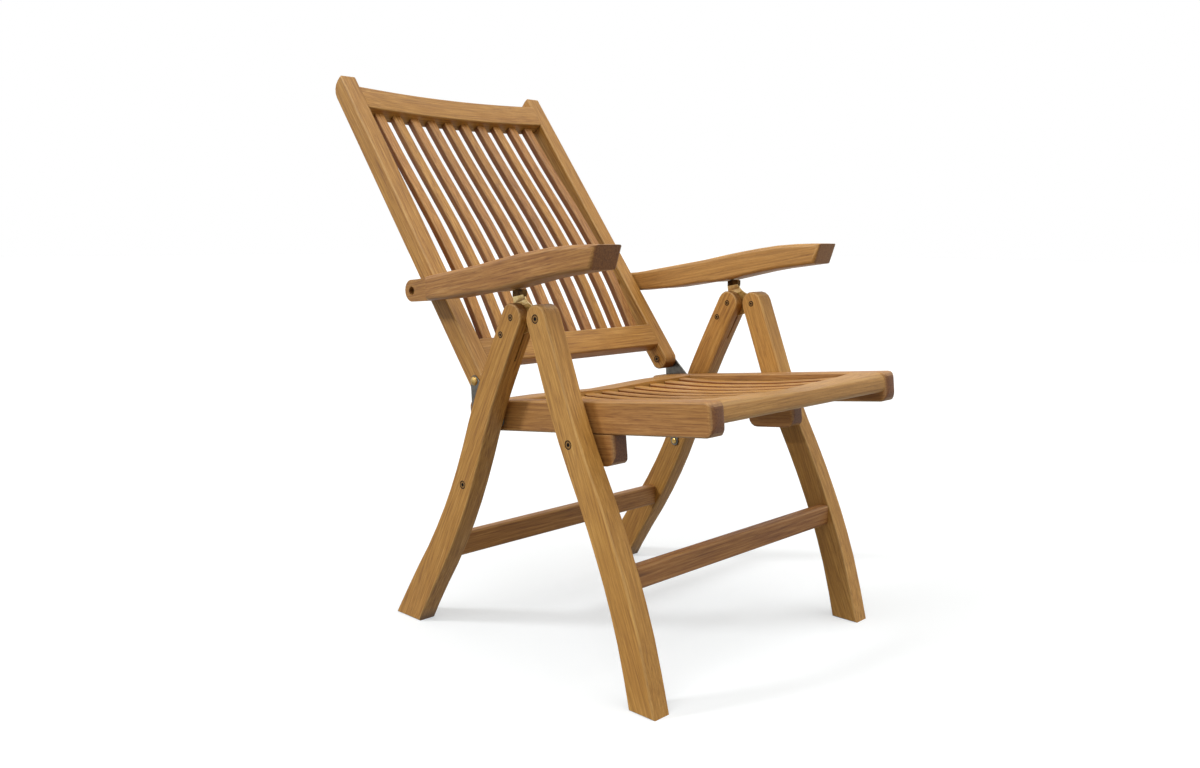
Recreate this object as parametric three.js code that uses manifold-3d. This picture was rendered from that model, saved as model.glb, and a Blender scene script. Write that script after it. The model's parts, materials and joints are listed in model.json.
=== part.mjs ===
// Folding teak armchair with five back positions.
//
// Two A-frame legs on each side pivot on a brass bracket at the top, the seat pivots on the
// front legs, a steel link under its rear end ties it to the rear legs, and the slatted back
// pivots on the seat. The arms pivot on the back and rest on the brackets.
//
// Side views are drawn in (s, z): s runs forward from the leg pivot, z runs up from the floor.
// In the finished model X runs across the chair, -Y is forward and +Z is up.
// Lengths are in millimetres and angles in degrees.

import * as THREE from "three";
import { mergeVertices } from "three/addons/utils/BufferGeometryUtils.js";
import Module from "manifold-3d";

const wasm = await Module();
wasm.setup();

// Clearances, edges and the overrun of every cut
const seatGap = 0.3;
const boreClearance = 0.3;
const bareEdge = 0.4;
const easedEdge = 3;
const slatEdge = 2.2;
const overrun = 10;

// Widths across the chair, each measured from the middle plane
const railInner = 224.5;
const railThickness = 35;
const plateThickness = 2.4;
const linkThickness = 2.4;
const linkClearance = 0.6;
const legThickness = 37.5;
const bracketThickness = 3;
const kerfClearance = 0.3;
const washerThickness = 3;
const armWidth = 60;
const tongueWidth = 43;

// A-frame
const legPivotHeight = 581.2;
const frontFootReach = 232.3;
const frontLegTopWidth = 46;
const frontLegFootWidth = 51;
const legTopGap = 12.2;
const rearLegTopDrop = 1.2;
const rearFootReach = 359;
const rearLegTopWidth = 47;
const rearLegFootWidth = 61;

// Each row is [share of the drop from the pivot to the floor, forward bow as a share of it]
const frontBowShares = [[0.1, -0.001], [0.25, -0.0035], [0.38, 0.0065], [0.5, 0.021],
  [0.62, 0.0285], [0.72, 0.0295], [0.85, 0.0215]];
const rearBowShares = [[0.14, 0.001], [0.27, 0.007], [0.4, 0.026], [0.52, 0.039],
  [0.63, 0.042], [0.75, 0.034], [0.87, 0.0145]];

// Stretchers between the legs, placed by their height and how far they stand ahead of the leg's middle
const stretcherDepth = 22;
const stretcherCorner = 5;
const frontStretcherHeight = 193.5;
const frontStretcherAhead = 6.6;
const frontStretcherTall = 37;
const rearStretcherHeight = 155.5;
const rearStretcherAhead = 5.6;
const rearStretcherTall = 41;

// Seat: its rails' top line crosses the plumb line of the leg pivot this far below it
const seatDrop = 135.1;
const seatTilt = 6.15;
const railRear = 223;
const railFront = 321.5;
const railDepth = 52;
const railRearCorner = 11;
const railFrontCorner = 14;
const seatPivotBelowRail = 11.43;
const seatPivotBehind = 1.7;
const blockBehindPivot = 46;
const blockAheadOfPivot = 56;
const blockTall = 49.5;
const blockCorner = 18;
const frontRailSetback = 4.5;
const frontRailWidth = 61;
const frontRailTall = 35;
const frontRailNoseTop = 15;
const frontRailNoseBottom = 9;
const frontRailDish = 9;
const rearRailInset = 43;
const rearRailWidth = 62;
const rearRailTall = 32;
const rearRailDish = 5;
const slatCount = 10;
const seatSlatMargin = 14.15;
const seatSlatWidth = 22;
const seatSlatThickness = 15;
const seatScoop = 9;

// Each row is [share of the slat's length from the rear, share of the scoop]
const seatScoopShares = [[0, 0.15], [0.15, 0.62], [0.35, 1], [0.6, 1], [0.82, 0.68], [1, 0.2]];

// Hinge plate and link: pivots by their distance from the rails' rear end and from their top line
const backPivotInset = 22.23;
const backPivotRise = 34.41;
const linkTopInset = 20.07;
const linkTopDrop = 16.45;
const plateScrewInset = 83.52;
const plateScrewDrop = 34.35;
const linkFall = 125.5;
const linkFootAhead = 2.4;
const plateLobe = 10;
const linkWidth = 19;

// Back frame: up the stile from the back pivot, and toward the sitter
const backAngle = 127.5;
const stileBelow = 21;
const stileTop = 690.5;
const stileFront = 20;
const stileRear = 20;
const stileTopCorner = 26;
const stileLip = 5;
const headRailBelowTop = 24.5;
const headRailTall = 54;
const headRailThickness = 36;
const headRailBow = 9;
const footRailBottom = 24;
const footRailTall = 50.2;
const footRailThickness = 28;
const backSlatMargin = 18.2;
const backSlatWidth = 22;
const backSlatThickness = 15;
const lumbarSwell = 21;

// Each row is [share of the slat's length from the bottom, share of the swell]
const lumbarShares = [[0, 0.34], [0.12, 0.71], [0.25, 0.98], [0.36, 1], [0.5, 0.88], [0.63, 0.66],
  [0.78, 0.36], [1, 0.09]];

// Arm: its pivot lies this far below the top of the bracket, and the rest is measured along from it
const armPivotBelowHead = 13.03;
const armLength = 474;
const armRise = 86;
const armUndersideRise = 49;
const armNoseSetback = 12;
const tongueRadius = 19.5;
const tongueTopAngle = 100;
const tongueLowAngle = 255;
const tongueLength = 62;
const armEdge = 7;
const armNoseCorner = 3;

// Rows of [share of the arm's length, share of its rise]. The underside's rows have shares of the way
// from the pivot to the rack's rear end, and from the rack's front end to the nose
const armTopShares = [[0.06, 0.26], [0.123, 0.32], [0.243, 0.43], [0.4, 0.57], [0.538, 0.72],
  [0.672, 0.85], [0.805, 0.955], [0.933, 1.0]];
const undersideRearShares = [[0.119, -0.36], [0.309, -0.27], [0.579, -0.16]];
const undersideFrontShares = [[0.463, 0.69], [0.79, 0.885]];

// Recline: how far the back swings up from its lowest notch, and the share of it that the arm turns
const reclineRange = 20;
const reclineNotches = 5;
const armFollowShare = 0.32;

// Apex bracket and the rack under the arm: the head's top is above the leg pivot, its tapers below that
// top, and its ends and middle are ahead of the screw in the rear leg
const headRise = 44.7;
const headCrown = 40;
const headMiddleAhead = 5.7;
const headFrontAhead = 15.1;
const headRearBehind = 10.8;
const headThickness = 9;
const rearTaperLow = 24.9;
const rearTaperHigh = 13.9;
const frontTaperLow = 16.9;
const frontTaperHigh = 8.9;
const rackRunningGap = 0.6;
const pivotLug = 12;
const screwLug = 9;
const lowLugAngles = [165, 290];
const pivotLugAngles = [-65, 80];
const lowScrewDrop = 29.2;
const lowScrewBehind = 9.7;
const webRise = 21;
const rackThickness = 3;
const rackWidth = 20;
const rackReach = 8;
const rackSlotWidth = 5;
const rackSlotMargin = 3;
const toothPocket = 6;
const kerfReach = 2;
const frontKerfLow = 247;
const frontKerfHigh = 118;

// Fasteners, by radius and by thickness along their axis
const pivotBolt = 4;
const pivotHead = 7.5;
const screwShank = 2.4;
const screwHead = 4.6;
const headDepth = 2.6;
const domeRadius = 8.5;
const domeHeight = 3.4;
const linkBolt = 3;
const rivetHead = 6;
const rivetHeight = 1.9;
const crownShare = 0.65;
const domeShare = 0.82;
const nutRadius = 7;
const nutHeight = 4;
const recessDepth = 10;
const driveRadius = 1.9;
const driveDepth = 1.5;

// Counts of facets and of search steps, and whole turns
const halfTurn = 180;
const fullTurn = 360;
const searchSteps = 40;
const boltSides = 12;
const arcSteps = 8;
const legSteps = 13;
const slatSteps = 9;
const armSteps = 26;

// Values that follow from the driving dimensions
const railOuter = railInner + railThickness;
const plateInner = railOuter + seatGap;
const plateOuter = plateInner + plateThickness;
const linkInner = plateOuter + seatGap;
const linkOuter = linkInner + linkThickness;
const legInner = linkOuter + linkClearance;
const legOuter = legInner + legThickness;
const legMiddle = legInner + legThickness / 2;
const kerfWidth = bracketThickness + 2 * kerfClearance;
const stretcherReach = legInner - seatGap;
const crossRailReach = railInner - seatGap;
const armInner = plateInner + washerThickness + seatGap;
const armOuter = armInner + armWidth;
const tongueOuter = armInner + tongueWidth;
const bracketScrewSetback = (frontLegTopWidth + rearLegTopWidth) / 2 + legTopGap;
const frontRailNose = railFront - frontRailSetback;
const frontRailRear = frontRailNose - frontRailWidth;
const rearRailRear = railRear - rearRailInset;
const rearRailFront = rearRailRear - rearRailWidth;
const headRailTop = stileTop - headRailBelowTop;
const headRailBottom = headRailTop - headRailTall;
const footRailTop = footRailBottom + footRailTall;

// Finishes of the real pieces
const teakTones = [0xc08a4c, 0xb97f45, 0xc6935a, 0xb5764a, 0xbd8850];
const brass = () => new THREE.MeshStandardMaterial({ color: 0xb8944e, roughness: 0.35, metalness: 1 });
const steel = () => new THREE.MeshStandardMaterial({ color: 0x55585a, roughness: 0.5, metalness: 0.9 });
const teak = (tone) => new THREE.MeshStandardMaterial({
  color: teakTones[tone % teakTones.length], roughness: 0.62, metalness: 0,
});

const chair = new THREE.Group();

function add(name, geometry, material) {
  const mesh = new THREE.Mesh(geometry, material);
  mesh.name = name;
  chair.add(mesh);
}

// Side-view points and frames
const side = (s, z) => new THREE.Vector2(s, z);
const turn = (degrees) => THREE.MathUtils.degToRad(degrees);
const ray = (degrees, length) => side(length * Math.cos(turn(degrees)), length * Math.sin(turn(degrees)));
const off = (point, degrees, length) => point.clone().add(ray(degrees, length));

// A frame in the side view: along its direction, and to the left of it
function frameAt(origin, degrees) {
  return (along, left) => off(off(origin, degrees, along), degrees + 90, left);
}

// The middle line of a leg, from its top to the floor
function legLine(top, footForward, bowShares) {
  const foot = side(footForward, 0);
  const rows = bowShares.map(([share, bow]) => top.clone().lerp(foot, share).add(side(bow * top.y, 0)));
  return new THREE.SplineCurve([top, ...rows, foot]);
}

// The point of a falling line where a measure of it, such as its height, comes down to a value
function pointWhere(line, measure, value) {
  let [from, to] = [0, 1];
  for (let i = 0; i < searchSteps; i += 1) {
    const middle = (from + to) / 2;
    if (measure(line.getPoint(middle)) > value) from = middle;
    else to = middle;
  }
  return line.getPoint(from);
}

const height = (point) => point.y;
const ahead = (point, length) => side(point.x + length, point.y);

// The pivots: the legs, the seat on the front leg, the back and the link on the seat, the arm on the back
const legPivot = side(0, legPivotHeight);
const bracketScrew = side(-bracketScrewSetback, legPivotHeight - rearLegTopDrop);
const frontLine = legLine(legPivot, frontFootReach, frontBowShares);
const rearLine = legLine(bracketScrew, -rearFootReach, rearBowShares);
const lowScrew = ahead(pointWhere(rearLine, height, bracketScrew.y - lowScrewDrop), -lowScrewBehind);

const seatDatum = ahead(legPivot, 0).sub(side(0, seatDrop));
const seatAt = frameAt(seatDatum, seatTilt);
const seatUp = (point) => point.clone().sub(seatDatum).dot(ray(seatTilt + 90, 1));
const seatAlong = (point) => point.clone().sub(seatDatum).dot(ray(seatTilt, 1));
const seatPivot = ahead(pointWhere(frontLine, seatUp, -railDepth - seatPivotBelowRail), -seatPivotBehind);

const backPivot = seatAt(backPivotInset - railRear, backPivotRise);
const linkTop = seatAt(linkTopInset - railRear, -linkTopDrop);
const plateScrew = seatAt(plateScrewInset - railRear, -plateScrewDrop);
const linkFoot = ahead(pointWhere(rearLine, height, linkTop.y - linkFall), linkFootAhead);

const headCentre = side(headMiddleAhead - bracketScrewSetback, legPivotHeight + headRise - headCrown);
const backLeft = frameAt(backPivot, backAngle);
const backAt = (up, toSitter) => backLeft(up, -toSitter);
const armPivotHeight = legPivotHeight + headRise - armPivotBelowHead;
const armPivotUp = (armPivotHeight - backPivot.y) / Math.sin(turn(backAngle));
const armPivot = backAt(armPivotUp, 0);

// Solids: merging, booleans and mirroring
function welded(geometry) {
  geometry.deleteAttribute("normal");
  geometry.deleteAttribute("uv");
  return geometry.index ? geometry : mergeVertices(geometry);
}

function solid(geometry) {
  const body = mergeVertices(welded(geometry));
  return new wasm.Manifold(new wasm.Mesh({
    numProp: 3,
    vertProperties: new Float32Array(body.attributes.position.array),
    triVerts: new Uint32Array(body.index.array),
  }));
}

function shell(manifold) {
  const mesh = manifold.getMesh();
  const geometry = new THREE.BufferGeometry();
  geometry.setAttribute("position", new THREE.BufferAttribute(new Float32Array(mesh.vertProperties), 3));
  geometry.setIndex(new THREE.BufferAttribute(new Uint32Array(mesh.triVerts), 1));
  return geometry;
}

const cut = (geometry, tools) =>
  shell(tools.reduce((left, tool) => left.subtract(solid(tool)), solid(geometry)));
const common = (first, second) => shell(solid(first).intersect(solid(second)));
const joined = (parts) => shell(parts.map(solid).reduce((sum, part) => sum.add(part)));

function mirrored(geometry) {
  const other = welded(geometry.clone()).scale(-1, 1, 1);
  const index = other.index.array;
  for (let i = 0; i < index.length; i += 3) {
    const first = index[i];
    index[i] = index[i + 1];
    index[i + 1] = first;
  }
  return other;
}

// A piece drawn for the chair's left side, and its mirror image on the right
function addPair(name, geometry, material) {
  add(`${name}_left`, geometry, material());
  add(`${name}_right`, mirrored(geometry), material());
}

// Side view (s, z) to the chair: s becomes -Y, z stays Z, and the extrusion runs inward along -X
const sideToChair = new THREE.Matrix4().makeBasis(
  new THREE.Vector3(0, -1, 0), new THREE.Vector3(0, 0, 1), new THREE.Vector3(-1, 0, 0));

// Extrudes a side-view outline from x = inner to x = outer, with its edges eased
function plank(outline, inner, outer, edge = easedEdge, edgeSteps = 1) {
  const shape = outline instanceof THREE.Shape ? outline : new THREE.Shape(outline);
  const geometry = new THREE.ExtrudeGeometry(shape, {
    depth: outer - inner - 2 * edge,
    bevelEnabled: edge > 0,
    bevelThickness: edge,
    bevelSize: edge,
    bevelOffset: -edge,
    bevelSegments: edgeSteps,
    curveSegments: arcSteps,
  });
  geometry.translate(0, 0, edge);
  geometry.applyMatrix4(sideToChair);
  return geometry.translate(outer, 0, 0);
}

// A round bar across the chair
function bore(centre, radius, inner, outer) {
  const geometry = new THREE.CylinderGeometry(radius, radius, outer - inner, boltSides);
  return geometry.rotateZ(-Math.PI / 2).translate((inner + outer) / 2, -centre.x, centre.y);
}

// A turned piece across the chair, from rows of [radius, x]
function turned(centre, rows) {
  const profile = rows.map(([radius, x]) => side(radius, x));
  const geometry = new THREE.LatheGeometry(profile, boltSides);
  return geometry.rotateZ(-Math.PI / 2).translate(0, -centre.x, centre.y);
}

// An outline with round corners, from corners of [point, radius]
function roundedOutline(corners) {
  const points = [];
  corners.forEach(([point, radius], i) => {
    if (radius === 0) {
      points.push(point);
      return;
    }
    const before = corners[(i + corners.length - 1) % corners.length][0];
    const after = corners[(i + 1) % corners.length][0];
    const back = before.clone().sub(point).normalize();
    const ahead = after.clone().sub(point).normalize();
    const half = Math.acos(THREE.MathUtils.clamp(back.dot(ahead), -1, 1)) / 2;
    const reach = radius / Math.tan(half);
    const inward = back.clone().add(ahead).normalize();
    const centre = point.clone().addScaledVector(inward, radius / Math.sin(half));
    const start = point.clone().addScaledVector(back, reach).sub(centre).angle();
    const end = point.clone().addScaledVector(ahead, reach).sub(centre).angle();
    let sweep = end - start;
    if (sweep > Math.PI) sweep -= 2 * Math.PI;
    if (sweep < -Math.PI) sweep += 2 * Math.PI;
    const steps = Math.max(2, Math.round(arcSteps * Math.abs(sweep) / Math.PI));
    for (let k = 0; k <= steps; k += 1) {
      const angle = start + sweep * k / steps;
      points.push(side(centre.x + radius * Math.cos(angle), centre.y + radius * Math.sin(angle)));
    }
  });
  return new THREE.Shape(points);
}

// Points of an arc about a centre, both ends included
function arc(centre, radius, from, to, steps = arcSteps) {
  return Array.from({ length: steps + 1 }, (_, i) => off(centre, from + (to - from) * i / steps, radius));
}

// The outline round circles given in turning order, as a belt round pulleys
function beltOutline(circles) {
  const points = [];
  circles.forEach(([centre, radius], i) => {
    const [before, beforeRadius] = circles[(i + circles.length - 1) % circles.length];
    const [after, afterRadius] = circles[(i + 1) % circles.length];
    const tangent = (a, ra, b, rb) => {
      const gap = b.clone().sub(a);
      return THREE.MathUtils.radToDeg(gap.angle() - Math.acos((ra - rb) / gap.length()));
    };
    const from = tangent(before, beforeRadius, centre, radius);
    let to = tangent(centre, radius, after, afterRadius);
    while (to < from) to += fullTurn;
    points.push(...arc(centre, radius, from, to));
  });
  return new THREE.Shape(points);
}

// Legs
function legOutline(line, topWidth, footWidth) {
  const top = line.getPoint(0);
  const front = [];
  const rear = [];
  for (let i = 0; i <= legSteps; i += 1) {
    const t = i / legSteps;
    const point = line.getPoint(t);
    const slope = line.getTangent(t);
    const half = THREE.MathUtils.lerp(topWidth, footWidth, t * t) / 2;
    const normal = i === legSteps ? side(-1 / slope.y, 0) : side(-slope.y, slope.x);
    front.push(point.clone().addScaledVector(normal, half));
    rear.push(point.clone().addScaledVector(normal, -half));
  }
  const start = THREE.MathUtils.radToDeg(front[0].clone().sub(top).angle());
  const round = arc(top, topWidth / 2, start, start + halfTurn);
  return [...front.reverse(), ...round.slice(1, -1), ...rear];
}

const legBores = (points, radius) =>
  points.map((point) => bore(point, radius + boreClearance, legInner - overrun, legOuter + overrun));

const recess = (point, radius, depth) =>
  bore(point, radius + boreClearance, legOuter - depth - boreClearance, legOuter + overrun);

const frontStretcher = ahead(pointWhere(frontLine, height, frontStretcherHeight), frontStretcherAhead);
const rearStretcher = ahead(pointWhere(rearLine, height, rearStretcherHeight), rearStretcherAhead);

// The saw kerf in a front leg's top clears the bracket through the whole fold
function frontKerf() {
  const reach = bracketScrewSetback + overrun;
  const low = frontKerfLow + 90;
  const high = frontKerfHigh - 90;
  const hub = arc(legPivot, pivotLug + kerfReach, high, low - fullTurn);
  const outline = [...hub, off(hub[hub.length - 1], frontKerfLow, reach),
    off(legPivot, (frontKerfLow + frontKerfHigh) / 2, 2 * reach), off(hub[0], frontKerfHigh, reach)];
  return plank(outline, legMiddle - kerfWidth / 2, legMiddle + kerfWidth / 2, 0);
}

function rearKerf() {
  const floor = lowScrew.y - screwLug - kerfClearance;
  const top = legPivotHeight + rearLegTopWidth;
  const front = overrun;
  const back = lowScrew.x - rearLegTopWidth;
  const outline = [side(back, floor), side(front, floor), side(front, top), side(back, top)];
  return plank(outline, legMiddle - kerfWidth / 2, legMiddle + kerfWidth / 2, 0);
}

const frontLeg = cut(
  plank(legOutline(frontLine, frontLegTopWidth, frontLegFootWidth), legInner, legOuter),
  [frontKerf(), ...legBores([legPivot, seatPivot], pivotBolt), recess(legPivot, pivotHead, headDepth),
    recess(seatPivot, pivotHead, headDepth)]);
addPair("front_leg", frontLeg, () => teak(0));

const rearLeg = cut(
  plank(legOutline(rearLine, rearLegTopWidth, rearLegFootWidth), legInner, legOuter),
  [rearKerf(), ...legBores([bracketScrew, lowScrew], screwShank),
    ...legBores([linkFoot], linkBolt), recess(bracketScrew, screwHead, headDepth),
    recess(lowScrew, screwHead, headDepth), recess(linkFoot, pivotHead, headDepth)]);
addPair("rear_leg", rearLeg, () => teak(2));

// Stretchers
function stretcher(centre, tall) {
  const half = stretcherDepth / 2;
  const corners = [[-half, -tall / 2], [half, -tall / 2], [half, tall / 2], [-half, tall / 2]];
  const outline = roundedOutline(corners.map(([s, z]) =>
    [side(centre.x + s, centre.y + z), stretcherCorner]));
  return plank(outline, -stretcherReach, stretcherReach, bareEdge);
}

add("front_stretcher", stretcher(frontStretcher, frontStretcherTall), teak(3));
add("rear_stretcher", stretcher(rearStretcher, rearStretcherTall), teak(3));

// A countersunk screw or bolt driven inward along -X, with a socket in its head
function screw(centre, face, shank, head, length) {
  const body = turned(centre, [[0, face - length], [shank, face - length], [shank, face - 2 * headDepth / 3],
    [head, face - headDepth / 3], [head, face], [0, face]]);
  return cut(body, [bore(centre, driveRadius, face - driveDepth, face + overrun)]);
}

// Bolts along the legs
const legBolt = (centre, shank, head) => screw(centre, legOuter - seatGap, shank, head,
  legThickness - 2 * seatGap);
addPair("leg_pivot_bolt", legBolt(legPivot, pivotBolt, pivotHead), brass);

// The seat pivot has a spacer collar between the leg and the block, and a nut inside the block
function seatPivotBolt() {
  const face = legOuter - seatGap;
  return cut(turned(seatPivot, [[0, railInner - nutHeight], [nutRadius, railInner - nutHeight],
    [nutRadius, railInner - seatGap], [pivotBolt, railInner - seatGap], [pivotBolt, railOuter + seatGap],
    [pivotHead, railOuter + seatGap], [pivotHead, legInner - seatGap], [pivotBolt, legInner - seatGap],
    [pivotBolt, face - 2 * headDepth / 3], [pivotHead, face - headDepth / 3], [pivotHead, face], [0, face]]),
  [bore(seatPivot, driveRadius, face - driveDepth, face + overrun)]);
}
addPair("seat_pivot_bolt", seatPivotBolt(), brass);

addPair("link_lower_bolt", legBolt(linkFoot, linkBolt, pivotHead), brass);

// Apex bracket: one plate with lugs for the leg pivot and two screws, and a neck up to the arm
const headAngle = (beyond) => THREE.MathUtils.radToDeg(Math.acos(beyond / headCrown));
const headArc = arc(headCentre, headCrown, headAngle(headFrontAhead - headMiddleAhead),
  headAngle(-headRearBehind - headMiddleAhead));

// The head is thicker than the plate and tapers into it, so it is the hull of a block and a thin edge
function bracketHead() {
  const top = headCentre.y + headCrown;
  const front = headArc[0].x;
  const rear = headArc[headArc.length - 1].x;
  const rise = side(0, bareEdge);
  const low = [side(rear, top - rearTaperLow), side(front, top - frontTaperLow)];
  const block = plank([...headArc, side(rear, top - rearTaperHigh), side(front, top - frontTaperHigh)],
    legMiddle - headThickness / 2, legMiddle + headThickness / 2, bareEdge);
  const edge = plank([low[0], low[1], low[1].clone().add(rise), low[0].clone().add(rise)],
    legMiddle - bracketThickness / 2, legMiddle + bracketThickness / 2, 0);
  return shell(wasm.Manifold.hull([solid(block), solid(edge)]));
}

function bracketOutline() {
  const front = headArc[0];
  const back = headArc[headArc.length - 1];
  const lowerLug = arc(lowScrew, screwLug, ...lowLugAngles);
  const pivotArc = arc(legPivot, pivotLug, ...pivotLugAngles);
  const webFoot = pivotArc[pivotArc.length - 1];
  const web = new THREE.QuadraticBezierCurve(webFoot, side(front.x + screwLug / 2, webFoot.y + webRise / 3),
    side(front.x, webFoot.y + webRise)).getPoints(arcSteps);
  return [...headArc, side(back.x, bracketScrew.y + pivotLug), ...lowerLug, ...pivotArc, ...web.slice(1)];
}

// The two screws that hold the plate in its kerf are one piece with it
const bracket = joined([
  cut(plank(bracketOutline(), legMiddle - bracketThickness / 2, legMiddle + bracketThickness / 2, bareEdge),
    legBores([legPivot], pivotBolt)),
  bracketHead(), legBolt(bracketScrew, screwShank, screwHead), legBolt(lowScrew, screwShank, screwHead)]);
addPair("apex_bracket", bracket, brass);

// Seat rails and the pivot blocks under them
const railBore = (point, radius) =>
  bore(point, radius + boreClearance, railInner - overrun, railOuter + overrun);

const railOutline = roundedOutline([[seatAt(-railRear, -railDepth), railRearCorner],
  [seatAt(railFront, -railDepth), railFrontCorner], [seatAt(railFront, 0), railFrontCorner],
  [seatAt(-railRear, 0), railRearCorner]]);
addPair("seat_rail", plank(railOutline, railInner, railOuter), () => teak(1));

const blockTop = -railDepth - seatGap;
const blockRear = seatAlong(seatPivot) - blockBehindPivot;
const blockFront = seatAlong(seatPivot) + blockAheadOfPivot;
const blockOutline = roundedOutline([[seatAt(blockRear, blockTop - blockTall), blockCorner],
  [seatAt(blockFront, blockTop - blockTall), blockCorner], [seatAt(blockFront, blockTop), easedEdge],
  [seatAt(blockRear, blockTop), easedEdge]]);
const block = cut(plank(blockOutline, railInner, railOuter, bareEdge), [railBore(seatPivot, pivotBolt)]);
addPair("seat_block", block, () => teak(3));

// Cross rails of the seat, dished in the middle by cutting a shallow arc along the chair
function dishTool(dish, along) {
  const radius = (crossRailReach ** 2 + dish ** 2) / 2 / dish;
  const geometry = new THREE.CylinderGeometry(radius, radius, 2 * railDepth + 2 * overrun, 8 * boltSides);
  const centre = seatAt(along, radius - dish);
  geometry.rotateX(turn(-seatTilt));
  return geometry.translate(0, -centre.x, centre.y);
}

const frontRailOutline = roundedOutline([[seatAt(frontRailRear, -frontRailTall), easedEdge],
  [seatAt(frontRailNose, -frontRailTall), frontRailNoseBottom], [seatAt(frontRailNose, 0), frontRailNoseTop],
  [seatAt(frontRailRear, 0), easedEdge]]);
const frontRail = cut(plank(frontRailOutline, -crossRailReach, crossRailReach, bareEdge),
  [dishTool(frontRailDish, (frontRailRear + frontRailNose) / 2)]);
add("seat_front_rail", frontRail, teak(2));

const rearRailOutline = roundedOutline([[seatAt(-rearRailRear, -rearRailTall), easedEdge],
  [seatAt(-rearRailFront, -rearRailTall), easedEdge], [seatAt(-rearRailFront, 0), easedEdge],
  [seatAt(-rearRailRear, 0), easedEdge]]);
const rearRail = cut(plank(rearRailOutline, -crossRailReach, crossRailReach, bareEdge),
  [dishTool(rearRailDish, -(rearRailRear + rearRailFront) / 2)]);
add("seat_rear_rail", rearRail, teak(2));

// A slat follows a spline through rows of [share, share] scaled by its length and its curve
function curvedSlat(frame, from, to, shares, depthOf, thickness) {
  const points = shares.map(([share, bend]) =>
    side(THREE.MathUtils.lerp(from, to, share), depthOf(share, bend)));
  const face = new THREE.SplineCurve(points).getPoints(slatSteps);
  const far = face.map((point) => side(point.x, point.y - thickness)).reverse();
  return [...face, ...far].map((point) => frame(point.x, point.y));
}

// The outermost slats stand a margin away from the rails, and the others are spaced evenly between them
const slatPlace = (i, width, margin) => (2 * i / (slatCount - 1) - 1) * (railInner - margin - width / 2);

function dishAt(x, dish) {
  return dish * (1 - (x / crossRailReach) ** 2);
}

for (let i = 0; i < slatCount; i += 1) {
  const x = slatPlace(i, seatSlatWidth, seatSlatMargin);
  const rearDish = dishAt(x, rearRailDish);
  const frontDish = dishAt(x, frontRailDish);
  const depthOf = (share, bend) =>
    -easedEdge / 2 - THREE.MathUtils.lerp(rearDish, frontDish, share) - bend * seatScoop;
  const outline = curvedSlat(seatAt, -rearRailFront + seatGap, frontRailRear - seatGap, seatScoopShares,
    depthOf, seatSlatThickness);
  const half = seatSlatWidth / 2;
  add(`seat_slat_${i + 1}`, plank(outline, x - half, x + half, slatEdge), teak(i * 3 + 1));
}

// Hinge plates on the seat rails, and the links down to the rear legs
const plateOutline = beltOutline([[backPivot, plateLobe], [linkTop, plateLobe], [plateScrew, plateLobe]]);
const plateBore = (point, radius) =>
  bore(point, radius + boreClearance, plateInner - overrun, plateOuter + overrun);
const linkFace = linkOuter + seatGap;

// The stud that the link turns on is riveted fast in the plate, so it is one piece with it
const stud = turned(linkTop, [[0, plateInner], [linkBolt, plateInner], [linkBolt, linkFace],
  [rivetHead, linkFace], [rivetHead, linkFace + rivetHeight / 2],
  [rivetHead * crownShare, linkFace + rivetHeight], [0, linkFace + rivetHeight]]);
const hingePlate = joined([cut(plank(plateOutline, plateInner, plateOuter, bareEdge),
  [plateBore(backPivot, pivotBolt), plateBore(plateScrew, screwShank)]), stud]);
addPair("hinge_plate", hingePlate, steel);

const linkOutline = beltOutline([[linkTop, linkWidth / 2], [linkFoot, linkWidth / 2]]);
const link = cut(plank(linkOutline, linkInner, linkOuter, bareEdge),
  [bore(linkTop, linkBolt + boreClearance, linkInner - overrun, linkOuter + overrun),
    bore(linkFoot, linkBolt + boreClearance, linkInner - overrun, linkOuter + overrun)]);
addPair("link", link, steel);

// The rivet at the foot of a link has a low head inside, because the seat rail passes it
const rivetSeat = linkInner - seatGap;
const rivetTop = rivetSeat - rivetHeight;
addPair("link_rivet", turned(linkFoot, [[0, rivetTop], [rivetHead * crownShare, rivetTop],
  [rivetHead, rivetSeat - rivetHeight / 2], [rivetHead, rivetSeat], [linkBolt, rivetSeat],
  [linkBolt, legInner - seatGap], [0, legInner - seatGap]]), brass);

// Back frame
const stileOutline = [...arc(backPivot, stileBelow, backAngle + 110, backAngle + 250),
  ...roundedOutline([[backAt(0, stileFront), 0], [backAt(stileTop, stileFront), stileLip],
    [backAt(stileTop, -stileRear), stileTopCorner], [backAt(0, -stileRear), 0]]).getPoints()];
const stile = cut(plank(stileOutline, railInner, railOuter),
  [railBore(backPivot, pivotBolt), railBore(armPivot, pivotBolt)]);
addPair("stile", stile, () => teak(1));

// A rail between the stiles, bowed back from the sitter in the middle, in rows of (x, toward the sitter)
function backRail(bottom, top, thickness, bow) {
  const face = [];
  const steps = bow > 0 ? 2 * arcSteps : 1;
  for (let i = 0; i <= steps; i += 1) {
    const x = THREE.MathUtils.lerp(-crossRailReach, crossRailReach, i / steps);
    face.push(side(x, stileFront - dishAt(x, bow)));
  }
  const rear = face.map((point) => side(point.x, point.y - thickness)).reverse();
  const shape = new THREE.Shape([...face, ...rear]);
  const geometry = new THREE.ExtrudeGeometry(shape, {
    depth: top - bottom - 2 * easedEdge,
    bevelThickness: easedEdge,
    bevelSize: easedEdge,
    bevelOffset: -easedEdge,
    bevelSegments: 1,
  });
  const down = ray(backAngle, -1);
  const forward = ray(backAngle - 90, 1);
  const basis = new THREE.Matrix4().makeBasis(new THREE.Vector3(1, 0, 0),
    new THREE.Vector3(0, -forward.x, forward.y), new THREE.Vector3(0, -down.x, down.y));
  const head = backAt(top - easedEdge, 0);
  return geometry.applyMatrix4(basis).translate(0, -head.x, head.y);
}
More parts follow.
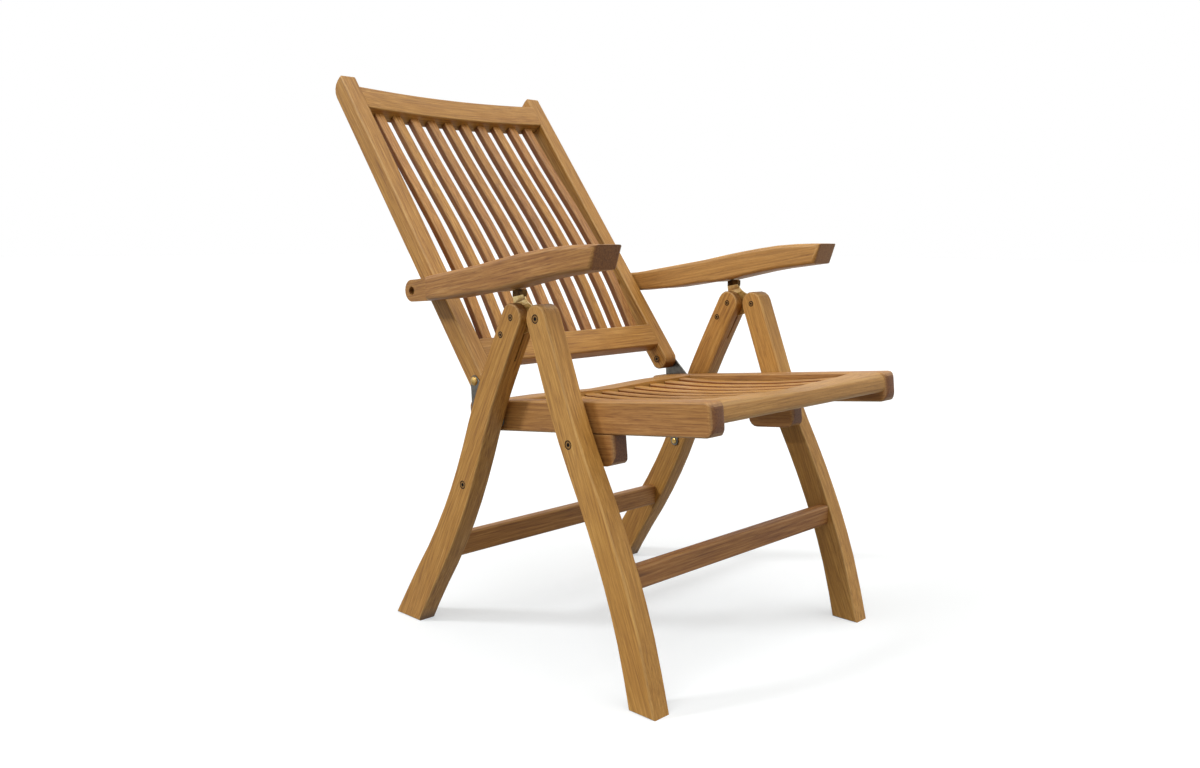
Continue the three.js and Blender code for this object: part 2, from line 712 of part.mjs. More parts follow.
add("back_head_rail", backRail(headRailBottom, headRailTop, headRailThickness, headRailBow), teak(0));
add("back_foot_rail", backRail(footRailBottom, footRailTop, footRailThickness, 0), teak(1));

for (let i = 0; i < slatCount; i += 1) {
  const x = slatPlace(i, backSlatWidth, backSlatMargin);
  const setBack = dishAt(x, headRailBow) - headRailBow / 2;
  const depthOf = (share, swell) => swell * lumbarSwell - setBack * share;
  const outline = curvedSlat(backAt, footRailTop + seatGap, headRailBottom - seatGap, lumbarShares,
    depthOf, backSlatThickness);
  const half = backSlatWidth / 2;
  add(`back_slat_${i + 1}`, plank(outline.reverse(), x - half, x + half, slatEdge), teak(i * 2 + 3));
}

// The bolt that the back turns on, with a domed head outside the plate and a nut inside the stile
function backPivotBolt() {
  const face = plateOuter + seatGap;
  return turned(backPivot, [[0, railInner - nutHeight], [nutRadius, railInner - nutHeight],
    [nutRadius, railInner - seatGap], [pivotBolt, railInner - seatGap], [pivotBolt, face],
    [domeRadius, face], [domeRadius * domeShare, face + domeHeight * crownShare],
    [domeRadius * (1 - crownShare), face + domeHeight],
    [0, face + domeHeight]]);
}
addPair("back_pivot_bolt", backPivotBolt(), brass);

// Arms: along from the arm pivot and up, level at rest
const armAt = (along, up) => side(armPivot.x + along, armPivot.y + up);

// Where the crown of the bracket's head lies in the arm's own frame at a recline angle
function headInArm(recline) {
  const pivot = off(backPivot, backAngle + recline, armPivotUp);
  return headCentre.clone().sub(pivot).rotateAround(side(0, 0), turn(-armFollowShare * recline));
}

const rackHeading = (recline) => headInArm(recline + 1).sub(headInArm(recline - 1)).normalize();

// The rack's running face stays one gap above the head, whatever the recline
function rackFace(recline, lift = 0) {
  const point = headInArm(recline);
  const heading = rackHeading(recline);
  const reach = headCrown + rackRunningGap + lift;
  return side(point.x - heading.y * reach, point.y + heading.x * reach);
}

const rackAngles = (from, to, steps) =>
  Array.from({ length: steps + 1 }, (_, i) => THREE.MathUtils.lerp(from, to, i / steps));
const rackFrom = -reclineRange - rackReach / 2;
const rackTo = rackReach / 2;

function armOutline() {
  const rearEnd = rackFace(rackFrom);
  const frontEnd = rackFace(rackTo);
  const noseAlong = armLength - armNoseSetback;
  const top = armTopShares.map(([along, up]) => armAt(along * armLength, up * armRise));
  const toRack = undersideRearShares.map(([share, up]) => armAt(share * rearEnd.x, up * armUndersideRise));
  const toNose = undersideFrontShares.map(([share, up]) =>
    armAt(THREE.MathUtils.lerp(frontEnd.x, noseAlong, share), up * armUndersideRise));
  const run = rackAngles(rackFrom, rackTo, arcSteps / 2).map((angle) => rackFace(angle))
    .map((point) => armAt(point.x, point.y));
  const under = new THREE.SplineCurve([off(armPivot, 270, tongueRadius), ...toRack, ...run, ...toNose,
    armAt(noseAlong, armUndersideRise)]).getPoints(armSteps);
  const crown = new THREE.SplineCurve([off(armPivot, tongueTopAngle, tongueRadius), ...top,
    armAt(armLength, armRise)]).getPoints(armSteps / 2);
  const tongue = arc(armPivot, tongueRadius, tongueTopAngle, tongueLowAngle);
  return [...under, ...crown.reverse(), ...tongue.slice(1)];
}

// The plan cuts the tongue's shoulder and rounds the nose
function armPlan() {
  const back = armPivot.x - tongueRadius - overrun;
  const shoulder = armPivot.x + tongueLength;
  const nose = armPivot.x + armLength;
  const shape = roundedOutline([[side(back, armInner), 0], [side(nose, armInner), armNoseCorner],
    [side(nose, armOuter), armNoseCorner], [side(shoulder, armOuter), easedEdge],
    [side(shoulder, tongueOuter), 0], [side(back, tongueOuter), 0]]);
  const height = armRise + 4 * tongueRadius;
  const geometry = new THREE.ExtrudeGeometry(shape, { depth: height, bevelEnabled: false });
  const basis = new THREE.Matrix4().makeBasis(new THREE.Vector3(0, -1, 0),
    new THREE.Vector3(1, 0, 0), new THREE.Vector3(0, 0, 1));
  return geometry.applyMatrix4(basis).translate(0, 0, armPivot.y - 2 * tongueRadius);
}

// A strip along the underside between two heights above the running face
function rackStrip(from, to, low, high, inner, outer, edge) {
  const angles = rackAngles(from, to, 10);
  const lower = angles.map((angle) => rackFace(angle, low));
  const upper = angles.map((angle) => rackFace(angle, high)).reverse();
  const outline = [...lower, ...upper].map((point) => armAt(point.x, point.y));
  return plank(outline, inner, outer, edge);
}

const rackInner = legMiddle - rackWidth / 2;
const rackOuter = legMiddle + rackWidth / 2;
const notches = rackAngles(-reclineRange, 0, reclineNotches - 1);
const slotLength = rackWidth - 2 * rackSlotMargin;

// A slot across the rack and the pocket above it, square to the rack at one notch
function slotTool(angle, rise) {
  const point = rackFace(angle);
  const heading = rackHeading(angle);
  const centre = armAt(point.x, point.y);
  const box = new THREE.BoxGeometry(slotLength, rackSlotWidth, 2 * rise);
  return box.rotateX(-heading.angle()).translate(legMiddle, -centre.x, centre.y);
}

const slots = (rise) => notches.map((angle) => slotTool(angle, rise));
const groove = rackStrip(rackFrom - seatGap / 2, rackTo + seatGap / 2, -overrun, rackThickness + seatGap,
  rackInner - seatGap, rackOuter + seatGap, 0);
const armBody = common(plank(armOutline(), armInner, armOuter, armEdge, 2), armPlan());
const arm = cut(armBody, [groove, ...slots(rackThickness + toothPocket),
  bore(armPivot, pivotBolt + boreClearance, armInner - overrun, armOuter + overrun),
  bore(armPivot, pivotHead + boreClearance, tongueOuter - recessDepth, armOuter + overrun)]);
addPair("arm", arm, () => teak(4));

const rack = cut(rackStrip(rackFrom, rackTo, 0, rackThickness, rackInner, rackOuter, 0),
  slots(rackThickness + seatGap));
addPair("rack", rack, brass);

// Arm pivots: a bolt through the tongue and the stile, and a washer between them
function armPivotBolt() {
  const face = tongueOuter - recessDepth + headDepth;
  return cut(turned(armPivot, [[0, railInner - nutHeight], [nutRadius, railInner - nutHeight],
    [nutRadius, railInner - seatGap], [pivotBolt, railInner - seatGap],
    [pivotBolt, face - headDepth + seatGap], [pivotHead, face - headDepth + seatGap], [pivotHead, face],
    [0, face]]), [bore(armPivot, driveRadius, face - driveDepth, face + overrun)]);
}
addPair("arm_pivot_bolt", armPivotBolt(), brass);

const washer = cut(bore(armPivot, domeRadius + headDepth, plateInner, plateInner + washerThickness),
  [bore(armPivot, pivotBolt + boreClearance, plateInner - overrun, plateInner + overrun)]);
addPair("arm_washer", washer, brass);

// The origin is on the floor in the middle of the whole chair
const box = new THREE.Box3().setFromObject(chair);
const middle = box.getCenter(new THREE.Vector3());
chair.position.set(-middle.x, -middle.y, -box.min.z);

export default chair;
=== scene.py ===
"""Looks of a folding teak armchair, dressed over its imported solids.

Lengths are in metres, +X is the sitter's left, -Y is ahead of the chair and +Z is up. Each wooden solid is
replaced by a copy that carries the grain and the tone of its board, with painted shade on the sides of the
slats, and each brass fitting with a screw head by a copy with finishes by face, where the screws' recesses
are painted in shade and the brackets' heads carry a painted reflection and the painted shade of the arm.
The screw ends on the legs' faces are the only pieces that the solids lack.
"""

import json
import math

import bmesh
import bpy
import numpy as np
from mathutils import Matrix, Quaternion, Vector


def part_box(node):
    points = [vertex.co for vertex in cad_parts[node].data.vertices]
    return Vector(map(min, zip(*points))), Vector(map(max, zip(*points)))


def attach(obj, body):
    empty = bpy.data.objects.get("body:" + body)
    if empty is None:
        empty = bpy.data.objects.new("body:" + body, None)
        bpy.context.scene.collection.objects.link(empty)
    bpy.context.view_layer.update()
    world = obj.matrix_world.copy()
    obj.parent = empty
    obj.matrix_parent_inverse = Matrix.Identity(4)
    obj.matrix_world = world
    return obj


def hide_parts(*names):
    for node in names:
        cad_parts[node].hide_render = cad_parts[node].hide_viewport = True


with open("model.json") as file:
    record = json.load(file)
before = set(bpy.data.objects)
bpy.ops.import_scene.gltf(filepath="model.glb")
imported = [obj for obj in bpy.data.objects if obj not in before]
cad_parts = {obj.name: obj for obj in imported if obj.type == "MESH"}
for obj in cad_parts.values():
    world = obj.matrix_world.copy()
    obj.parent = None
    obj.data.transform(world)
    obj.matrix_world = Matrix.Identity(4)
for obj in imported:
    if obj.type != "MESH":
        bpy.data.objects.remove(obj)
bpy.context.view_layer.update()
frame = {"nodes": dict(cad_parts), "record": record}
nodes = frame["nodes"]
record = frame["record"]
body_of_node = {node: body for body, members in record["behaviour"]["bodies"].items() for node in members}
slot_of_node = {part["node"]: part["material_slot"] for part in record["subparts"]}
scene = bpy.context.scene
dice = np.random.default_rng(27)
MM = 0.001


# Shader nodes

def hex_colour(code):
    """sRGB hex to linear RGBA: the standard two-part sRGB curve on each channel."""
    parts = np.array([int(code[i:i + 2], 16) for i in (1, 3, 5)]) / 255
    linear = np.where(parts <= 0.04045, parts / 12.92, ((parts + 0.055) / 1.055) ** 2.4)
    return (*linear.tolist(), 1.0)


def add(tree, kind, *values, stops=(), **named):
    """Adds a shader node and returns it.

    Values without a name fill the inputs in use, in their order. A name that begins with a capital is an
    input, with _ for each space, and any other name is a setting of the node. A value that is a node links
    its first output in use, one that is an output is linked, and one that is text is a hex colour. Stops are
    the (place, hex colour) pairs of a colour ramp."""
    node = tree.nodes.new("ShaderNode" + kind)
    for name, value in named.items():
        if name[0].islower():
            setattr(node, name, value)
    wanted = list(zip([socket for socket in node.inputs if socket.enabled], values))
    for name, value in named.items():
        if name[0].isupper():
            wanted.append((node.inputs[name.replace("_", " ")], value))
    for socket, value in wanted:
        if isinstance(value, bpy.types.Node):
            value = next(output for output in value.outputs if output.enabled)
        if isinstance(value, bpy.types.NodeSocket):
            tree.links.new(value, socket)
        else:
            socket.default_value = hex_colour(value) if isinstance(value, str) else value
    if stops:
        elements = node.color_ramp.elements
        while len(elements) < len(stops):
            elements.new(0.5)
        for element, (place, colour) in zip(elements, stops):
            element.position = place
            element.color = hex_colour(colour)
    return node


def new_material(name):
    """An empty material and its tree."""
    material = bpy.data.materials.new(name)
    material.use_nodes = True
    material.node_tree.nodes.clear()
    return material, material.node_tree


# Materials

RING_SPACING = 4 * MM

# Noise stretched along a board: features per metre along it and across it, then detail and roughness.
# Features per metre are 1000 over their size in millimetres, which is given beside each.
FIGURE = {
    "wander": (2.8, 40, 2.0, 0.5),      # bends of the rings, about 360 by 25
    "streaks": (12, 330, 4.0, 0.62),    # paler and darker streaks, about 80 by 3
    "pores": (80, 1500, 2.0, 0.55),     # open pores, about 12 by 0.7, as fine as the render can show
    "broad": (2.0, 16, 1.0, 0.5),       # changes of tone, about 500 by 60
    "flecks": (24, 330, 3.0, 0.6),      # dark flecks, about 40 by 3
}


def oiled_teak():
    """Teak, sawn straight, sanded and oiled. Growth rings 4 mm apart give soft cathedral figure and stripes,
    pores show as short dark dashes, each board has its own tone, and end grain is darker."""
    material, tree = new_material("oiled_teak")
    board = add(tree, "Attribute", attribute_name="board").outputs["Vector"]
    tone = add(tree, "Attribute", attribute_name="tone").outputs["Vector"]
    grain = add(tree, "Attribute", attribute_name="grain").outputs["Vector"]
    side = add(tree, "Attribute", attribute_name="side").outputs["Fac"]
    worn = add(tree, "Attribute", attribute_name="worn").outputs["Fac"]
    normal = add(tree, "TexCoord").outputs["Normal"]
    pink, level, pale = add(tree, "SeparateXYZ", tone).outputs
    _, across, through = add(tree, "SeparateXYZ", board).outputs

    noise = {}
    for name, (along_count, across_count, detail, roughness) in FIGURE.items():
        stretched = add(tree, "Mapping", board, Scale=(along_count, across_count, across_count))
        noise[name] = add(tree, "TexNoise", stretched, Scale=1.0, Detail=detail, Roughness=roughness)

    # End grain: how squarely the surface faces along the grain, softened where an edge is rounded
    facing = add(tree, "VectorMath", normal, grain, operation="DOT_PRODUCT")
    facing = add(tree, "Math", facing, operation="ABSOLUTE")
    end = add(tree, "MapRange", facing, From_Min=0.45, From_Max=0.95)

    # Rings: the distance from a pith about 35 mm below the board, which the wander bends by up to 15 mm
    sway = add(tree, "Math", noise["wander"], 0.03, -0.015, operation="MULTIPLY_ADD")
    rise = add(tree, "Math", noise["wander"], 0.022, 0.024, operation="MULTIPLY_ADD")
    beside = add(tree, "Math", across, sway, operation="ADD")
    above = add(tree, "Math", through, rise, operation="ADD")
    beside = add(tree, "Math", beside, 2.0, operation="POWER")
    above = add(tree, "Math", above, 2.0, operation="POWER")
    radius = add(tree, "Math", beside, above, operation="ADD")
    radius = add(tree, "Math", radius, operation="SQRT")
    ring = add(tree, "Math", radius, 1 / RING_SPACING, operation="MULTIPLY")
    ring = add(tree, "Math", ring, operation="FRACT")
    rings = add(tree, "ValToRGB", ring,
                stops=((0.0, "#a89c90"), (0.1, "#e6e2de"), (0.7, "#ffffff"), (1.0, "#bcb2a8")))

    # Their strength changes every 7 mm or so, so that some show and some fade, and is more on pink boards
    steps = add(tree, "Math", radius, 140.0, operation="MULTIPLY")
    steps = add(tree, "TexNoise", noise_dimensions="1D", W=steps, Scale=1.0, Detail=1.0)
    strength = add(tree, "MapRange", steps, From_Min=0.35, From_Max=0.7, To_Min=0.05, To_Max=0.4)
    pinkness = add(tree, "Math", pink, 1.6, 0.6, operation="MULTIPLY_ADD")
    ring_weight = add(tree, "Math", strength, pinkness, operation="MULTIPLY")

    # Pores and flecks show only where their noise is high, and flecks come in groups
    pores = add(tree, "MapRange", noise["pores"], From_Min=0.56, From_Max=0.7)
    pore_weight = add(tree, "Math", pores, 0.3, operation="MULTIPLY")
    flecks = add(tree, "MapRange", noise["flecks"], From_Min=0.52, From_Max=0.68)
    groups = add(tree, "MapRange", noise["broad"], From_Min=0.36, From_Max=0.62, To_Min=0.1, To_Max=0.45)
    fleck_weight = add(tree, "Math", flecks, groups, operation="MULTIPLY")

    # Honey and pink heartwood, mixed by the board's own tone and by the broad noise
    honey = add(tree, "ValToRGB", noise["streaks"],
                stops=((0.3, "#90662c"), (0.45, "#a97d36"), (0.58, "#b78c43"), (0.75, "#cba35d")))
    heart = add(tree, "ValToRGB", noise["streaks"],
                stops=((0.3, "#7c4e2b"), (0.45, "#96653a"), (0.58, "#a77546"), (0.75, "#bb8f5f")))
    clouds = add(tree, "ValToRGB", noise["broad"], stops=((0.3, "#988468"), (0.7, "#dcd4c4")))
    patches = add(tree, "MapRange", noise["broad"], From_Min=0.3, From_Max=0.7, To_Min=-0.25, To_Max=0.25)
    heart_weight = add(tree, "Math", pink, patches, operation="ADD", use_clamp=True)

    # Each layer goes over the ones before it: its blend, its weight and its colour
    pale_weight = add(tree, "Math", pale, 0.6, operation="MULTIPLY")
    gap_shade_weight = add(tree, "Math", side, 0.7, operation="MULTIPLY")
    end_weight = add(tree, "Math", end, 0.9, operation="MULTIPLY")
    worn_weight = add(tree, "Math", worn, 0.12, operation="MULTIPLY")
    colour = honey
    for blend, weight, layer in (
            ("MIX", heart_weight, heart),
            ("MIX", pale_weight, "#c6a66c"),         # weathered boards are paler
            ("MULTIPLY", ring_weight, rings),
            ("SOFT_LIGHT", 0.5, clouds),
            ("MULTIPLY", fleck_weight, "#8c6038"),
            ("MULTIPLY", pore_weight, "#8a6040"),
            ("MULTIPLY", gap_shade_weight, "#b98d62"),    # painted shade in the gaps between slats
            ("MULTIPLY", end_weight, "#9e835c"),
            ("SCREEN", worn_weight, "#d8c090")):     # hands rub the eased edges paler
        colour = add(tree, "Mix", weight, colour, layer, data_type="RGBA", blend_type=blend)
    colour = add(tree, "HueSaturation", Color=colour, Value=level)

    # Darker streaks are rougher, and the pores are sunk
    rough = add(tree, "MapRange", noise["streaks"], To_Min=0.62, To_Max=0.44)
    raised = add(tree, "Math", noise["streaks"], 0.5, operation="MULTIPLY")
    relief = add(tree, "Math", pores, -0.35, raised, operation="MULTIPLY_ADD")
    bump = add(tree, "Bump", Strength=0.28, Distance=0.6 * MM, Height=relief)
    shader = add(tree, "BsdfPrincipled", Base_Color=colour, Roughness=rough, Normal=bump, IOR=1.5)
    add(tree, "OutputMaterial", shader)
    return material


def tumbled_metal(name, light, dark):
    """Cut and tumbled metal: scratches a third of a millimetre apart, as fine as the render can show, and
    patches 8 mm across that were handled more or less, the dull ones in the darker colour."""
    material, tree = new_material(name)
    place = add(tree, "TexCoord").outputs["Object"]
    drawn = add(tree, "Mapping", place, Scale=(3000, 3000, 400))
    scratches = add(tree, "TexNoise", drawn, Scale=1.0, Detail=2.0)
    patches = add(tree, "TexNoise", place, Scale=120.0, Detail=3.0, Roughness=0.6)
    colour = add(tree, "ValToRGB", patches, stops=((0.3, dark), (0.6, light)))
    rough = add(tree, "MapRange", patches, To_Min=0.5, To_Max=0.22)
    bump = add(tree, "Bump", Strength=0.12, Distance=0.2 * MM, Height=scratches)
    shader = add(tree, "BsdfPrincipled", Base_Color=colour, Roughness=rough, Normal=bump, Metallic=1.0)
    add(tree, "OutputMaterial", shader)
    return material


def screw_brass_with_painted_recess_shade():
    """The face of a screw sunk in oiled wood: the socket and the rim are painted near black and the brass
    between a dull brown, as the painted shade of the recess, with specks of dirt 2.5 mm apart. The ring
    attribute is the distance from the screw's axis over its radius."""
    material, tree = new_material("oiled_brass_screw")
    ring = add(tree, "Attribute", attribute_name="ring").outputs["Fac"]
    place = add(tree, "TexCoord").outputs["Object"]
    dirt = add(tree, "TexNoise", place, Scale=400.0, Detail=2.0)
    wander = add(tree, "Math", dirt, 0.16, -0.08, operation="MULTIPLY_ADD")
    ring = add(tree, "Math", ring, wander, operation="ADD")
    # Near black in the socket and at the rim, and a shaded brown between: the painted shade of the screw's
    # recess
    colour = add(tree, "ValToRGB", ring,
                 stops=((0.4, "#080503"), (0.48, "#94713f"), (0.74, "#7c5a30"), (0.86, "#1c1108")))
    metal = add(tree, "ValToRGB", ring,
                stops=((0.4, "#000000"), (0.48, "#5c5c5c"), (0.7, "#3c3c3c"), (0.82, "#000000")))
    bump = add(tree, "Bump", Strength=0.2, Distance=0.3 * MM, Height=dirt)
    shader = add(tree, "BsdfPrincipled", Base_Color=colour, Metallic=metal, Roughness=0.5, Normal=bump,
                 Specular_IOR_Level=0.15)
    add(tree, "OutputMaterial", shader)
    return material


TEAK = oiled_teak()
BRASS = tumbled_metal("satin_brass", "#c9a765", "#8d6b35")
SCREW = screw_brass_with_painted_recess_shade()
# A lighter brass that paints the reflection on the brackets' heads, and a dark brass that paints the arm's
# shade on them
PAINTED_REFLECTION_BRASS = tumbled_metal("polished_brass", "#ecd39b", "#d2ae6a")
PAINTED_SHADE_BRASS = tumbled_metal("dark_oiled_brass", "#5c4222", "#2c1e12")
STEEL = tumbled_metal("dull_zinc_plated_steel", "#6e6b65", "#5b5852")


# Meshes

SAME_POINT = 0.001 * MM


def mesh_arrays(mesh):
    """Vertex positions and face normals."""
    spots = np.zeros(len(mesh.vertices) * 3)
    mesh.vertices.foreach_get("co", spots)
    normals = np.zeros(len(mesh.polygons) * 3)
    mesh.polygons.foreach_get("normal", normals)
    return spots.reshape(-1, 3), normals.reshape(-1, 3)


def write_attribute(mesh, name, values, domain="POINT"):
    """Writes an array of numbers, or of vectors, on the points or the faces of a mesh."""
    kind, field = ("FLOAT_VECTOR", "vector") if values.ndim == 2 else ("FLOAT", "value")
    mesh.attributes.new(name, kind, domain).data.foreach_set(field, values.ravel())


def node_centre(node):
    """The middle of a node's box, as x, y and z."""
    spots, _ = mesh_arrays(nodes[node].data)
    return (spots.min(0) + spots.max(0)) / 2


def closed_mesh(name, spots, faces):
    """A mesh from an array of points and a list of faces, with doubles merged and faces turned outwards."""
    mesh = bpy.data.meshes.new(name)
    mesh.from_pydata(spots.tolist(), [], faces)
    sheet = bmesh.new()
    sheet.from_mesh(mesh)
    bmesh.ops.remove_doubles(sheet, verts=sheet.verts, dist=SAME_POINT)
    bmesh.ops.recalc_face_normals(sheet, faces=sheet.faces)
    sheet.to_mesh(mesh)
    sheet.free()
    return mesh


def new_object(name, data):
    """An object at the origin, in the scene, that carries a mesh, a lamp or a lens."""
    thing = bpy.data.objects.new(name, data)
    scene.collection.objects.link(thing)
    return thing


# Boards: copies of the sawn pieces with grain, tone and end grain written on them

FLAT = math.radians(0.5)    # faces closer in direction than this are one
CORNER = math.radians(52)   # an edge that turns by this much or more is shaded as a corner

# How far a board may be moved in its log: along the grain, across the face and through the thickness
LOG_SHIFTS = ((0, 40), (-0.02, 0.02), (-0.006, 0.012))
SIDE_FACING = (0.45, 0.95)  # how squarely a face looks sideways where it begins to be a side, and is one
EASED_EDGE = 0.71           # how squarely an eased edge looks both ways: the root of a half
EASED_SPREAD = (1 / 12, 1 / 4)  # how far from that a face may look where the wear is full, and ends

# A rounded end is bent at these depths behind it, as shares of its radius
ROUNDING_SHARES = (0.04, 0.12, 0.25, 0.45, 0.7, 1.0)
RAIL_ROUNDING = 0.012
BLOCK_ROUNDING = 0.009

# The ends of the cross rails lie farther out than this |x|, and run on by this much
RAIL_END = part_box("seat_front_rail")[1][0] - 0.7 * MM
RAIL_RUN_ON = 2.9 * MM

# The kerf is measured from a point of the left rear leg's front face, at the middle of the leg's thickness.
# Its outline is in millimetres down the leg and out of that face
KERF_FROM = (0.28425, -0.11476, 0.5693)
KERF_OUTLINE = ((20, 5), (71, 5), (66, -20), (20, -20))
KERF_DOWN = (0, 0.455, -0.890)
KERF_OUT = (0, -0.890, -0.455)
KERF_WIDTH = 3.6 * MM


def unit(vector):
    """The same direction with a length of one."""
    return vector / np.linalg.norm(vector)


def write_grain(mesh, grain, face_up, pink, level, pale, sides):
    """Writes what the teak material reads.

    A point's place on its board is how far it lies from the piece's middle along the grain, across the sawn
    face and through the thickness, each moved by a random shift so that no two boards match. A face is a side
    of the board as far as it faces across it, and is worn where it faces halfway between a side and the sawn
    face."""
    along = unit(grain)
    through = unit(face_up - np.dot(face_up, along) * along)
    across = np.cross(through, along)
    spots, normals = mesh_arrays(mesh)
    middle = (spots.min(0) + spots.max(0)) / 2
    shift = [dice.uniform(*limits) for limits in LOG_SHIFTS]
    write_attribute(mesh, "board", (spots - middle) @ np.stack([along, across, through], 1) + shift)
    write_attribute(mesh, "tone", np.tile([pink, level, pale], (len(spots), 1)))
    write_attribute(mesh, "grain", np.tile(along, (len(spots), 1)))
    sideways = np.abs(normals @ across)
    nearest = np.maximum(sideways, np.abs(normals @ through))
    # The sides of slats are painted darker by this, as the shade in the gaps between them
    write_attribute(mesh, "side", sides * np.interp(sideways, SIDE_FACING, (0, 1)), "FACE")
    write_attribute(mesh, "worn", np.interp(np.abs(nearest - EASED_EDGE), EASED_SPREAD, (1, 0)), "FACE")


def round_end(spots, along, up, radius):
    """Rounds the far end of a board in plan and at its lower corner. Each side and the underside come in by
    the radius less the root of (the radius squared less the rest squared), and the rest is the radius less
    the depth behind the end."""
    heights = spots @ along
    rest = np.maximum(radius - (heights.max() - heights), 0)
    inset = radius - np.sqrt(radius ** 2 - rest ** 2)
    low, high = spots[:, 0].min(), spots[:, 0].max()
    middle, half = (low + high) / 2, (high - low) / 2
    above = spots @ up
    lift = (above.max() - above) * inset / np.ptp(above)
    rounded = spots + np.outer(lift, up)
    rounded[:, 0] = middle + (spots[:, 0] - middle) * (half - inset) / half
    return rounded


def saw_long_kerf(piece, side):
    """Runs the saw kerf in a rear leg's front face down past the bracket's lower lug. The kerf's outline in
    the side view is carried across its width, and that solid is taken out of the leg."""
    start = np.array(KERF_FROM) * (1 if side == "left" else -1, 1, 1)
    outline = start + np.array(KERF_OUTLINE) * MM @ np.array([KERF_DOWN, KERF_OUT])
    half = np.array([KERF_WIDTH / 2, 0, 0])
    spots = np.concatenate([outline - half, outline + half])
    near = np.arange(len(outline))
    far = near + len(outline)
    edges = np.stack([np.roll(near, -1), near, far, np.roll(far, -1)], 1)
    faces = [near.tolist(), far[::-1].tolist(), *edges.tolist()]
    tool = new_object("kerf_tool", closed_mesh("kerf_tool", spots, faces))
    saw = piece.modifiers.new("kerf", "BOOLEAN")
    saw.object = tool
    saw.operation = "DIFFERENCE"
    saw.solver = "EXACT"
    bpy.context.view_layer.update()
    piece.data = bpy.data.meshes.new_from_object(piece.evaluated_get(bpy.context.evaluated_depsgraph_get()))
    piece.modifiers.clear()
    bpy.data.objects.remove(tool)


def sawn_copy(node, grain, face_up, pink, level, pale=0.0, sides=0.0, rounding=0.0, run_on=0.0):
    """A wooden node's own shape, with its doubles merged and its eased edges shaded round.

    Pink, level and pale are the board's tone, and sides is how dark its sides are painted, as the shade in
    the gaps between slats. Rounding is the radius of its far end, and run_on is how far a cross rail's ends
    run into the pieces that carry it."""
    mesh = nodes[node].data.copy()
    mesh.name = "wood_" + node
    reach = (mesh_arrays(mesh)[0] @ grain).max()
    sheet = bmesh.new()
    sheet.from_mesh(mesh)
    bmesh.ops.remove_doubles(sheet, verts=sheet.verts, dist=SAME_POINT)
    bmesh.ops.dissolve_limit(sheet, angle_limit=FLAT, verts=sheet.verts, edges=sheet.edges)
    for share in ROUNDING_SHARES if rounding else ():
        everything = sheet.verts[:] + sheet.edges[:] + sheet.faces[:]
        bmesh.ops.bisect_plane(sheet, geom=everything, dist=0.1 * SAME_POINT,
                               plane_co=grain * (reach - rounding * share), plane_no=grain)
    # Corners are marked on the straight board, so that a rounded end is shaded as one curve
    for edge in sheet.edges:
        if edge.is_manifold:
            edge.smooth = edge.calc_face_angle() < CORNER
    sheet.to_mesh(mesh)
    sheet.free()
    spots, _ = mesh_arrays(mesh)
    if rounding:
        spots = round_end(spots, grain, SEAT_UP, rounding)
    spots[:, 0] += np.where(np.abs(spots[:, 0]) > RAIL_END, np.copysign(run_on, spots[:, 0]), 0)
    mesh.vertices.foreach_set("co", spots.ravel())
    mesh.update()
    mesh.shade_smooth()
    piece = new_object("wood_" + node, mesh)
    if node.startswith("rear_leg_"):
        saw_long_kerf(piece, node.removeprefix("rear_leg_"))
    piece.data.materials.clear()
    piece.data.materials.append(TEAK)
    write_grain(piece.data, grain, face_up, pink, level, pale, sides)
    weighted = piece.modifiers.new("weighted", "WEIGHTED_NORMAL")
    weighted.keep_sharp = True
    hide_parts(node)
    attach(piece, body_of_node[node])


def leaning(angle):
    """Two directions in the side view: straight ahead turned up by an angle, and a quarter turn further."""
    return np.array([0, -math.cos(angle), math.sin(angle)]), np.array([0, math.sin(angle), math.cos(angle)])


ACROSS = np.array([1.0, 0, 0])
UP = np.array([0, 0, 1.0])
AHEAD = np.array([0, -1.0, 0])
SEAT_ALONG, SEAT_UP = leaning(math.radians(6.15))
BACK_ALONG, BACK_BEHIND = leaning(math.radians(127.5))
ARM_ALONG, _ = leaning(math.atan2(0.086, 0.474))    # it rises 86 mm over 474 mm
FRONT_LEG_ALONG = np.array([0, -0.232, -0.581])     # from the leg pivot to the foot
REAR_LEG_ALONG = np.array([0, 0.30, -0.581])

# The left arm is paler, as if it had more sun
ARM_TONES = {"left": {"level": 1.1, "pale": 0.5}, "right": {"level": 0.9, "pale": 0.0}}

for side in ("left", "right"):
    sawn_copy("rear_leg_" + side, REAR_LEG_ALONG, ACROSS, pink=0.12, level=1.01)
    sawn_copy("front_leg_" + side, FRONT_LEG_ALONG, ACROSS, pink=0.1, level=1.07, pale=0.2)
    sawn_copy("seat_rail_" + side, SEAT_ALONG, ACROSS, pink=0.6, level=0.96, pale=0.1,
              rounding=RAIL_ROUNDING)
    sawn_copy("seat_block_" + side, SEAT_ALONG, ACROSS, pink=0.6, level=0.86, rounding=BLOCK_ROUNDING)
    sawn_copy("stile_" + side, BACK_ALONG, ACROSS, pink=0.1, level=1.0)
    sawn_copy("arm_" + side, ARM_ALONG, UP, pink=0.45, **ARM_TONES[side])
sawn_copy("front_stretcher", ACROSS, AHEAD, pink=0.75, level=0.9)
sawn_copy("rear_stretcher", ACROSS, AHEAD, pink=0.5, level=0.98)
sawn_copy("seat_front_rail", ACROSS, UP, pink=0.35, level=1.0, pale=0.4, run_on=RAIL_RUN_ON)
sawn_copy("seat_rear_rail", ACROSS, UP, pink=0.2, level=1.08, run_on=RAIL_RUN_ON)
sawn_copy("back_head_rail", ACROSS, -BACK_BEHIND, pink=0.08, level=1.0, run_on=RAIL_RUN_ON)
sawn_copy("back_foot_rail", ACROSS, -BACK_BEHIND, pink=0.15, level=1.0, run_on=RAIL_RUN_ON)
